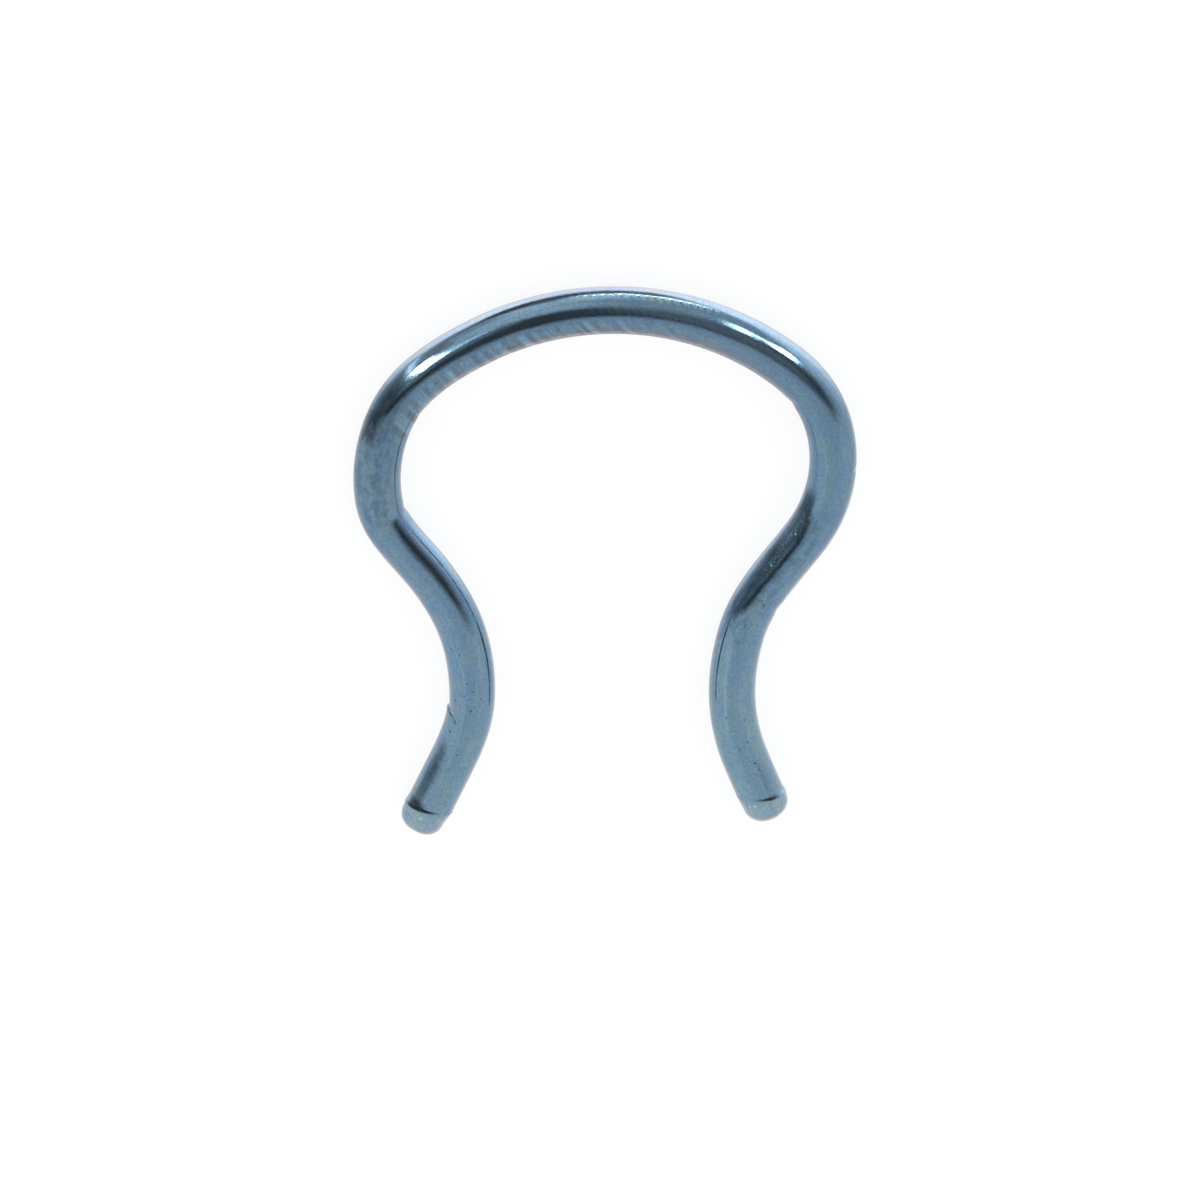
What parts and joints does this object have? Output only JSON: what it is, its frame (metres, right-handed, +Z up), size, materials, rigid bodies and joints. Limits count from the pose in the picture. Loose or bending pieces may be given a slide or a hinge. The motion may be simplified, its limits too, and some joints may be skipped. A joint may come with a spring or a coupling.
{
  "type": "septum retainer",
  "caption": "Round blue anodised wire bent into a broad crown with a narrowed neck and splayed legs, tips rounded.",
  "frame": {"origin": "centre of the bounding box, at its base, on the floor that the wire lies on", "axes": "+Z up, square to the plane that the wire is bent in; +Y from the tips to the crown; +X to the right with the crown away from the viewer"},
  "size_m": [0.013, 0.0152, 0.0012],
  "materials": {
    "anodised_wire": "polished metal, anodised steel blue, lavender at grazing angles"
  },
  "bodies": {
    "root": {"retainer_wire": "anodised_wire"}
  },
  "joints": []
}
